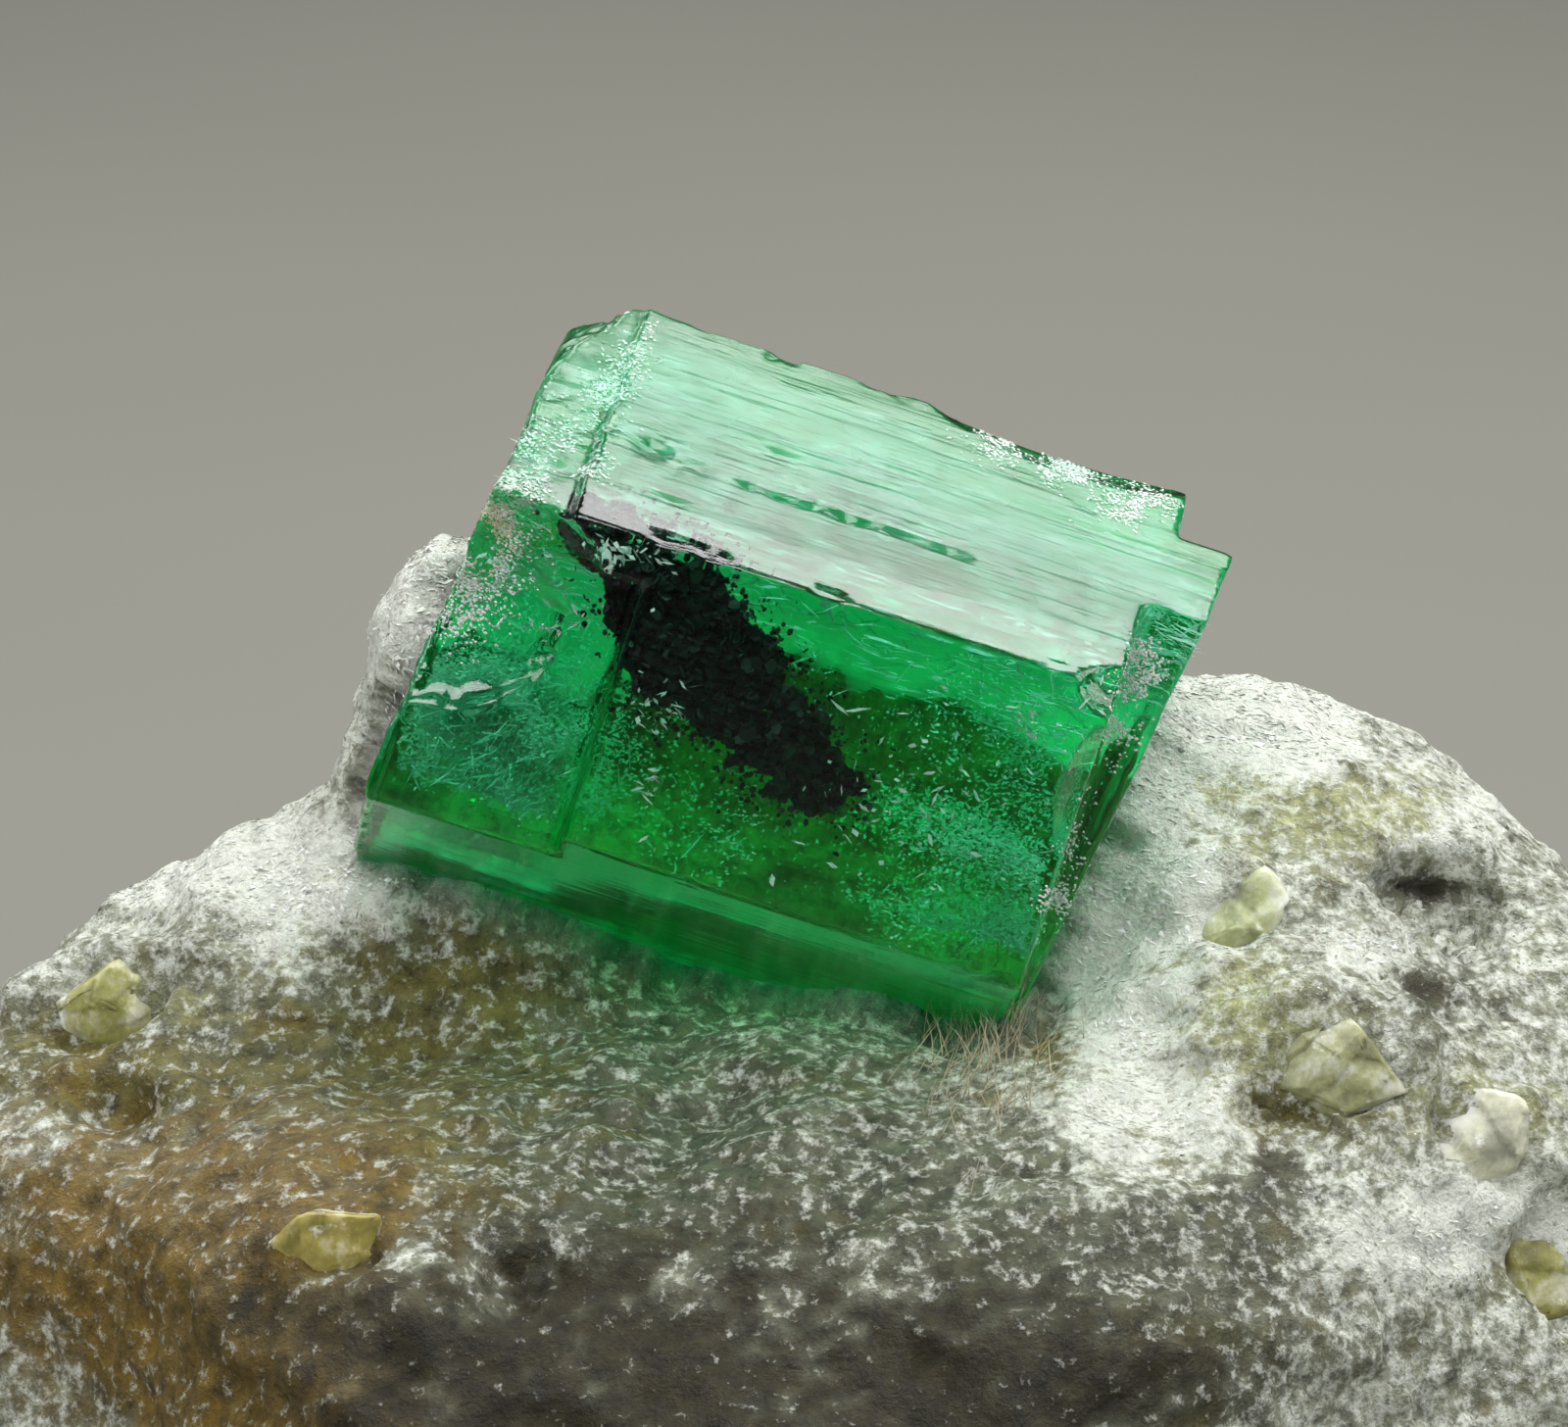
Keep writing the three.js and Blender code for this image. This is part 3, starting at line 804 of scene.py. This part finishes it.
def grainMesh(node, seed):
    mesh = remeshed(weldedCadMesh(node), grains["voxel"])
    softened(mesh, 3)
    points, normals = pointsOf(mesh), normalsOf(mesh)
    points = points + normals * (grains["grow"] + grains["ripple"] * waves(points, 0.7, seed))[:, None]
    middle = points.mean(axis=0)
    dice = np.random.default_rng(seed)
    reach = np.abs(points - middle).max(axis=0).mean()
    for way in unit(dice.normal(0, 1, (grains["cuts"], 3)) + 0.5 * frontOut):
        beyond = ((points - middle) @ way - reach * dice.uniform(*grains["cutReach"])).clip(0)
        points = points - np.outer(beyond, way)
    # broken top: it leans a little, and steps down along two cleavages
    top = unit(frontOut + dice.normal(0, grains["lean"], 3))
    out = (points - middle) @ top
    points -= np.outer((out - grains["proud"]).clip(0), top) * (1 - grains["flatten"])
    for way, (pitch, height) in zip(unit(dice.normal(0, 1, (2, 3))), grains["steps"]):
        points += np.outer(height * ((points @ way / pitch) % 1 - 0.5), top)
    setPoints(mesh, points)
    edge = ramp(grains["proud"] - out, 0, 0.35) + 0.5 * waves(points, 0.35, seed + 1)
    setValues(mesh, "white", edge.clip(0, 0.5))
    return mesh


grainTrees = []
for k, (node, colour) in enumerate(zip(grains["nodes"], grains["colours"])):
    mesh = grainMesh(node, 80 + 2 * k)
    grainTrees.append((treeOf(mesh), pointsOf(mesh).min(axis=0) - 1, pointsOf(mesh).max(axis=0) + 1))
    grainPiece = piece(mesh, f"glassyGrain{k + 1}", grainMaterial(f"glassyGrain{k + 1}", colour))
    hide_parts(node)


# rock

rock = {
    "voxel": 0.15, "soften": 10, "reach": 0.5,
    "seat": 0.03,  # how far below the crystal's faces the rock grips it
    "brushed": [(0.08, 1.2, 51), (0.09, 0.5, 52), (0.05, 0.25, 53)],  # strength, scale, seed
    "ridge": 0.08, "gritty": 0.07, "ledge": 0.4, "ledgePitch": 0.55,
    "ledges": [(9.6, -3.7, 1.3, 1, 1), (7.2, -6.5, 1, 0.6, 0.8), (10, -6.9, 1.1, 0.5, 0.8),
               (6, -9.3, 2, 0.8, 0.4)],
    "seatColour": (0.9, 0.92, 0.85),
    # painted light: patches where the rock's seat under the crystal is painted brightest
    "seatPaintedLight": [(-4.3, -2, 1.3, 1.3, 1), (3.2, -3.8, 1.6, 1, 1)],  # where the seat is palest
}


def rockMaterial():
    material, nodes, shader = newMaterial("talcSchist")
    tone = stored(nodes, "tone", "Color")
    sugar, frost = frosting(nodes)
    mottle = noiseNode(nodes, 2.6, 7, 0.72)
    ground = scaledColour(nodes, tone, rangeNode(nodes, mottle, 0.32, 0.68, 0.3, 1.75))
    white = scaledColour(nodes, frostColour, rangeNode(nodes, mottle, 0.3, 0.55, 0.7, 1.04))
    feed(mixColours(nodes, ground, white, frost), shader.inputs["Base Color"])
    feed(rangeNode(nodes, sugar, 0.3, 0.7, 0.35, 0.7), shader.inputs["Roughness"])
    feed(bumpNode(nodes, sugar, 1, 0.2), shader.inputs["Normal"])
    return material


rockTones = {  # ground colour, then how much white frost lies on it
    "schist": (0.27, 0.28, 0.2, 0.48), "talc": (0.7, 0.73, 0.6, 1.05), "grey": (0.1, 0.105, 0.068, 0.3),
    "stain": (0.38, 0.39, 0.19, 0.36), "olive": (0.145, 0.132, 0.032, 0.27),
    "brown": (0.17, 0.108, 0.014, 0.22), "dark": (0.03, 0.024, 0.008, 0.1),
}
# where each colour of the schist shows; the grey and dark patches make the rock darker towards the bottom,
# and the thin dark strips along the ledges and the pit on the right are painted shade in their crevices
rockSpots = {
    "talc": [(-5.2, 0.6, 1, 2.4, 1), (-7.2, -2.9, 3.2, 0.9, 0.8), (6.6, -0.7, 2.4, 1.2, 1.1),
             (5.2, -3.2, 1.3, 2, 1.2), (9.8, -7.9, 2.2, 0.9, 1), (10.2, -2, 2.2, 0.7, 0.7),
             (5.2, -6.3, 1.6, 0.8, 0.6), (8.6, -4, 0.9, 0.3, 0.8), (5.6, -2.4, 0.8, 1.2, 0.8)],
    "grey": [(5.5, -9.4, 4, 2, 0.9), (5.4, -7.9, 1.5, 0.5, 0.7), (0.5, -6.5, 4, 1.7, 0.9),
             (-3.5, -6.2, 3.5, 2.4, 1), (-7.5, -5.2, 2.4, 1, 0.8), (9.8, -4.6, 1.6, 0.5, 0.6),
             (6.6, -7.6, 1.2, 0.6, 0.7)],
    "stain": [(7.8, -2.2, 1.6, 0.8, 1), (9.5, -1.8, 1.2, 0.5, 0.8), (7, -4.9, 1.3, 1, 1),
              (10.2, -6.2, 1.4, 0.8, 0.8), (-8.8, -4.8, 1.6, 0.6, 0.7), (6.4, -1.6, 0.8, 0.4, 0.6)],
    "olive": [(-9.9, -5.8, 1.9, 0.9, 1), (-5.5, -6.3, 3, 1.6, 0.9), (-4.2, -4.3, 2.4, 1.1, 0.7),
              (4, -5.4, 0.5, 0.5, 1), (7.6, -6.2, 1.3, 0.6, 0.8), (10.8, -8.4, 0.8, 1, 0.6),
              (5.8, -9.3, 1.4, 0.8, 0.5)],
    "brown": [(-9, -8.4, 3.8, 2.4, 1.1), (-6.5, -7.2, 1.8, 1, 0.8), (-6, -10.6, 2.5, 1.5, 0.9)],
    # painted shade: the thin dark strips by the pit and under the ledges on the right darken their crevices
    "dark": [(-3.2, -10.2, 3.8, 2.3, 1.1), (2.2, -10, 3.4, 1.8, 1), (9.8, -3.1, 0.8, 0.22, 0.9),
             (9.3, -4.5, 0.5, 0.2, 0.7), (-7, -8.9, 1.6, 0.6, 0.5), (7.2, -6.9, 0.6, 0.25, 0.8),
             (5.2, -9.6, 1.6, 0.5, 0.6)],
}


def rockTonesAt(points):
    drift = 0.3 * waves(points, 2.4, 41) + 0.22 * waves(points, 1, 42)
    fine = 0.26 * waves(points, 0.5, 43) + 0.24 * waves(points, 0.22, 44)
    tones = np.tile(np.array(rockTones["schist"]), (len(points), 1))
    bare = ramp(np.abs(depthIn(crystalTree, points)), 0.1, 0.5)
    for name, spots in rockSpots.items():
        share = ramp(patches(points, spots) + drift + fine, 0.1, 1) * (1 if name == "talc" else bare)
        tones += (np.array(rockTones[name]) - tones) * share[:, None]
        drift = -0.8 * drift
    return tones


flow = unit(0.9 * frontRight - 0.42 * frontUp)  # the schist's fibres dip to the right
flowFrame = np.stack([flow, np.cross(flow, frontOut), frontOut])


# a lump that fills a grain's pocket to just below the rock's face
def pocketFiller(node):
    mesh = weldedCadMesh(node)
    points = pointsOf(mesh)
    middle = points.mean(axis=0)
    away = 1.5 * (points - middle)
    out = away @ frontOut
    setPoints(mesh, middle + away - np.outer((out - 0.24).clip(0), frontOut))
    return mesh


def joined(meshes):
    both = bmesh.new()
    for mesh in meshes:
        both.from_mesh(mesh)
        bpy.data.meshes.remove(mesh)
    mesh = bpy.data.meshes.new("joined")
    both.to_mesh(mesh)
    both.free()
    return mesh


# points near the crystal, or inside it, come to lie just below its face
def closedOnCrystal(points):
    picked = np.flatnonzero(points[:, 2] > 1)
    places, ways, gaps = nearestOn(crystalTree, points[picked])
    inward = dot(points[picked] - places, ways) < 0
    near = (gaps < rock["reach"]) | (inward & (gaps < 2))
    points[picked[near]] = places[near] - ways[near] * rock["seat"]


def finishRock():
    solids = [weldedCadMesh("matrix")] + [pocketFiller(node) for node in grains["nodes"]]
    mesh = remeshed(joined(solids), rock["voxel"])
    base = pointsOf(mesh)[:, 2] < 0.04
    softened(mesh, rock["soften"])
    points, normals = pointsOf(mesh), normalsOf(mesh)
    brushed = points @ flowFrame.T * (0.3, 1, 1)
    push = sum(strength * waves(brushed, scale, seed) for strength, scale, seed in rock["brushed"])
    push += rock["ridge"] * (1 - 2 * np.abs(waves(points, 0.9, 54))) + rock["gritty"] * waves(points, 0.3, 55)
    # layered ledges where the schist has broken
    layers = seen(points)[1] / rock["ledgePitch"]
    layers = layers + 0.9 * waves(points, 0.9, 47) + 0.3 * waves(points, 0.3, 48)
    push += rock["ledge"] * patches(points, rock["ledges"]) * (layers % 1 - 0.5)
    points = points + normals * push[:, None]
    points[base, 2] = 0
    points[:, 2] = points[:, 2].clip(0)
    # the rock closes on the crystal that grew in it
    closedOnCrystal(points)
    setPoints(mesh, points)
    seat = ramp(-np.abs(depthIn(crystalTree, points)), -0.4, -0.1)[:, None]
    # painted light and shade on the seat where the rock holds the crystal: its pale colour is painted
    # brighter in mottled patches and in the listed patches, and darker towards the bottom, for the light and
    # shade that reach it through the crystal
    paintedLightMottle = ramp(waves(points, 1.6, 45) + 0.8 * waves(points, 0.6, 46), -1.2, 0.7)[:, None]
    palest = patches(points, rock["seatPaintedLight"])[:, None]
    low = (ramp(seen(points)[1], -4.5, -1.5)[:, None] + palest).clip(0, 1)
    bright = (0.2 + 0.6 * paintedLightMottle) * (0.4 + 0.6 * low) + 0.35 * palest
    pale = np.array(rock["seatColour"]) * bright.clip(0, 1)
    tones = rockTonesAt(points)
    setColours(mesh, "tone", tones[:, :3] * (1 - seat) + pale * seat)
    setValues(mesh, "white", tones[:, 3] * (1 - seat[:, 0]))
    return mesh


rockMesh = finishRock()


# felted flakes and fibres of talc over the rock, and crusts of it on the crystal

felt = {
    "sliver": {"count": 40000, "length": (0.06, 0.22), "width": (0.12, 0.3), "thick": 0.35},
    "flake": {"count": 19000, "length": (0.05, 0.15), "width": (0.5, 0.9), "thick": 0.25},
    "turn": 0.45, "tilt": 0.22,
}
crust = {
    "flakes": 6500, "wide": (0.015, 0.05), "colour": (0.88, 0.92, 0.87),
    "spots": [
        (5.3, 0, 0.3, 0.35, 0.8), (4.95, -0.8, 0.2, 0.35, 0.35), (4.3, -2.1, 0.2, 0.5, 0.3),
        (4.1, -3.2, 0.2, 0.2, 0.8), (3.5, 3.35, 0.4, 0.2, 1), (4.35, 3, 0.45, 0.2, 1),
        (5.3, 2.45, 0.4, 0.2, 1),
        (-3.7, 3.1, 0.5, 0.7, 0.6), (-1.95, 4.8, 0.2, 0.4, 0.5), (-2.3, 4, 0.25, 0.4, 0.7),
        (-2.6, 3.2, 0.25, 0.4, 0.7), (-4.4, 0.85, 0.4, 0.35, 0.3), (-3.8, 1.35, 0.4, 0.3, 0.25),
        (-3.95, 2.05, 0.3, 0.5, 1), (-4.3, 1.6, 0.2, 0.4, 0.6),
    ],
    "tints": [  # mint and cream, and where they show
        ((0.45, 0.88, 0.62), [(-3.7, 3.2, 0.7, 0.8, 1), (-2.3, 4, 0.8, 1.3, 1), (4.4, 3, 1.2, 0.4, 0.6)]),
        ((0.92, 0.86, 0.58), [(-3.95, 2.05, 0.45, 0.5, 1), (4.7, -1.4, 0.4, 1, 0.4)]),
    ],
}


def feltMaterial():
    material, nodes, shader = newMaterial("talcFelt")
    tone = stored(nodes, "tone", "Color")
    speck = colourRamp(nodes, noiseNode(nodes, 14, 2), [(0.3, (0.75, 0.75, 0.75)), (0.7, (1, 1, 1))])
    feed(mixColours(nodes, tone, speck, 1, "MULTIPLY"), shader.inputs["Base Color"])
    setInputs(shader, {"Roughness": 0.46, "Specular IOR Level": 0.35})
    return material


feltStone = feltMaterial()


# flakes lie along the fibres and tip a little, each with its own brightness
def feltMesh(name, form, places, ways, sizes, colours, dice):
    count = len(places)
    along = flow + dice.normal(0, felt["turn"], (count, 3))
    ways = unit(ways + dice.normal(0, felt["tilt"], (count, 3)))
    mesh = scattered(name, form, places, along, ways, sizes)
    light = np.exp(dice.normal(0, 0.25, (count, 1)))
    setColours(mesh, "tone", np.repeat((colours * light).clip(0, 0.92), len(form["points"]), axis=0))
    return mesh


def rockDensity():
    points, normals = pointsOf(rockMesh), normalsOf(rockMesh)
    front = ramp(normals @ frontOut, -0.3, 0.2)
    density = (0.35 + 0.65 * front) * (points[:, 2] > 0.1)
    density *= 0.35 + ramp(waves(points @ flowFrame.T * (0.4, 1, 1), 0.5, 56), -0.5, 0.7)
    # grains show through where no flakes lie on them
    for tree, low, high in grainTrees:
        near = np.flatnonzero(((points > low) & (points < high)).all(axis=1))
        density[near] *= np.where(nearestOn(tree, points[near])[2] < 0.08, 0.5, 1)
    return density


def onRock(density, count, dice):
    places, ways = spread(rockMesh, density, count, dice)
    clear = (depthIn(crystalTree, places) < -0.12) & (places[:, 2] > 0.3)
    return places[clear], ways[clear]


density = rockDensity()
for k, (form, kind) in enumerate([(sliver, "sliver"), (sliver, "sliver"), (octahedron, "flake")]):
    dice = np.random.default_rng(90 + k)
    values = felt[kind]
    places, ways = onRock(density, values["count"], dice)
    tones = rockTonesAt(places)
    kept = dice.random(len(places)) < 0.2 + 0.8 * ramp(tones[:, 3], 0.2, 0.6)  # sparse on the dark schist
    places, ways, tones = places[kept], ways[kept], tones[kept]
    count = len(places)
    colours = tones[:, :3] * dice.uniform(0.8, 1.7, (count, 1))
    white = dice.random(count) < ramp(tones[:, 3], 0.42, 0.98)
    colours[white] = np.array(frostColour) * dice.uniform(0.75, 1.05, (white.sum(), 1))
    length = dice.uniform(*values["length"], count)
    width = length * dice.uniform(*values["width"], count)
    sizes = np.column_stack([length, width, values["thick"] * width])
    sizes *= 0.15 + 0.9 * tones[:, 3:]  # finer on the dark schist
    mesh = feltMesh(f"talcFelt{k + 1}", form, places + 0.15 * sizes[:, 2:] * ways, ways, sizes, colours, dice)
    piece(mesh, f"talcFelt{k + 1}", feltStone, smooth=False)

dice = np.random.default_rng(95)
crustDensity = patches(pointsOf(crystalMesh), crust["spots"])
crustDensity *= ramp(normalsOf(crystalMesh) @ frontOut, 0.1, 0.4)
crustDensity *= ramp(waves(pointsOf(crystalMesh), 0.3, 96), -0.5, 0.4)
places, ways = spread(crystalMesh, crustDensity + faint, crust["flakes"], dice)
count = len(places)
colours = np.tile(np.array(crust["colour"]), (count, 1))
for colour, spots in crust["tints"]:
    colours += (np.array(colour) - colours) * patches(places, spots)[:, None]
wide = dice.uniform(*crust["wide"], count)
sizes = np.column_stack([1.5 * wide, wide, 0.35 * wide])
mesh = feltMesh("talcCrust", octahedron, places + 0.01 * ways, ways, sizes, colours, dice)
piece(mesh, "talcCrust", feltStone, smooth=False)

# a tuft of brownish fibres under the crystal's lower right corner
tuft = {
    "right": 3, "up": -5.2, "wide": 0.45, "high": 0.6, "colour": (0.62, 0.56, 0.38),
    "fibres": 260, "length": 1, "thick": 0.013, "joints": 7,
}


def tuftMesh():
    dice = np.random.default_rng(97)
    tree = treeOf(rockMesh)
    points, faces, sides = [], [], 3
    turns = [rad(360 / sides * k) for k in range(sides)]
    for _ in range(tuft["fibres"]):
        right, up = tuft["right"] + tuft["wide"] * dice.normal(), tuft["up"] + tuft["high"] * dice.normal()
        root = sightOn(tree, right, up)
        if root is None:
            continue
        way = unit(0.25 * frontRight + 0.9 * frontUp + 0.2 * frontOut + dice.normal(0, 0.3, 3))
        bend = dice.normal(0, 0.35, 3) - 0.2 * frontUp
        step = tuft["length"] * dice.uniform(0.4, 1) / tuft["joints"]
        spot = np.array(root)
        first = len(points)
        for joint in range(tuft["joints"]):
            side = unit(np.cross(way, frontOut))
            lift = np.cross(side, way)
            thin = tuft["thick"] * (1.05 - joint / tuft["joints"])
            points += [spot + thin * (math.cos(a) * side + math.sin(a) * lift) for a in turns]
            way = unit(way + bend / tuft["joints"])
            spot = spot + step * way
        for joint in range(tuft["joints"] - 1):
            a = first + sides * joint
            for k in range(sides):
                b = (k + 1) % sides
                faces += [(a + k, a + b, a + sides + b), (a + k, a + sides + b, a + sides + k)]
        last = first + sides * (tuft["joints"] - 1)
        faces += [(first, first + 2, first + 1), (last, last + 1, last + 2)]
    mesh = meshFromArrays("fibreTuft", np.array(points), faces)
    setColours(mesh, "tone", np.tile(np.array(tuft["colour"]), (len(points), 1)))
    return mesh


piece(tuftMesh(), "fibreTuft", feltStone)

emeraldPiece = piece(crystalMesh, "emeraldPrism", emeraldMaterial())
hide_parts("emerald_crystal")
rockPiece = piece(rockMesh, "schistRock", rockMaterial())
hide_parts("matrix")


# lights, floor and camera

lamps = {  # way from the crystal, aim this far behind it, size, radiance, spread in degrees
    "overheadLamp": ((0.31, 0.36, 0.88), 45, 124, 10.5, 95),
    "topLamp": ((-0.1, -0.6, 0.75), 0, 90, 9, 80),
    "backLamp": ((-0.35, 0.75, 0.55), 0, 110, 4, 80),
    "leftLamp": ((-0.8, -0.25, 0.5), 0, 90, 5, 80),
    "rightLamp": ((0.85, -0.3, 0.4), 0, 90, 5, 80),
}
studio = {
    "lampDistance": 170, "sky": {"Color": (0.9, 0.95, 1, 1), "Strength": 0.06},
    "floorReach": 900, "floorThick": 4, "floorGap": 0.02,  # the gap keeps the floor clear of the base
    "floorColours": [(0.3, (0.158, 0.158, 0.132)), (0.7, (0.172, 0.172, 0.144))],
}
view = {"distance": 130, "frameWidth": 22.86, "right": 0.21, "up": -0.54, "sensor": 36}


def softbox(name, towards, past, size, radiance, spreadAngle):
    light = bpy.data.lights.new(name, "AREA")
    light.shape = "SQUARE"
    light.size = size * mm
    light.spread = rad(spreadAngle)
    half = light.spread / 2
    # a narrow spread makes the same power brighter, which the last factor takes back
    light.energy = radiance * math.pi * light.size ** 2 * (1 - half / math.tan(half))
    lampObject = bpy.data.objects.new(name, light)
    scene.collection.objects.link(lampObject)
    middle = Vector(crystalMiddle)
    lampObject.location = (middle + Vector(towards).normalized() * studio["lampDistance"]) * mm
    aimed = (middle + Vector((0, past, 0))) * mm - lampObject.location
    lampObject.rotation_euler = aimed.to_track_quat("-Z", "Y").to_euler()


for name, values in lamps.items():
    softbox(name, *values)

world = bpy.data.worlds.new("room")
scene.world = world
world.use_nodes = True
setInputs(world.node_tree.nodes["Background"], studio["sky"])


def floorMaterial():
    material, nodes, shader = newMaterial("paleFloor")
    mottled(nodes, shader, 0.02, 2, studio["floorColours"])
    setInputs(shader, {"Roughness": 0.8})
    return material


reach = studio["floorReach"]
floorMesh = block((-reach, -reach, -studio["floorThick"]), (reach, reach, -studio["floorGap"]))
setPoints(floorMesh, pointsOf(floorMesh) * mm)
floorMesh.materials.append(floorMaterial())
looseObject(floorMesh)

cameraData = bpy.data.cameras.new("camera")
cameraData.sensor_width = view["sensor"]
cameraData.lens = view["sensor"] * view["distance"] / view["frameWidth"]
cameraData.clip_start = 0.002
camera = bpy.data.objects.new("camera", cameraData)
scene.collection.objects.link(camera)
aim = crystalMiddle + view["right"] * frontRight + view["up"] * frontUp
eye = (aim + view["distance"] * frontOut) * mm
turnCamera = np.column_stack([frontRight, frontUp, frontOut])
camera.matrix_world = Matrix([(*row, place) for row, place in zip(turnCamera, eye)] + [(0, 0, 0, 1)])
scene.camera = camera
print("studio", len(lamps), "lamps")
scene.view_settings.view_transform = "Standard"
scene.cycles.max_bounces = 8
scene.cycles.diffuse_bounces = 2
scene.cycles.glossy_bounces = 4
scene.cycles.transmission_bounces = 7
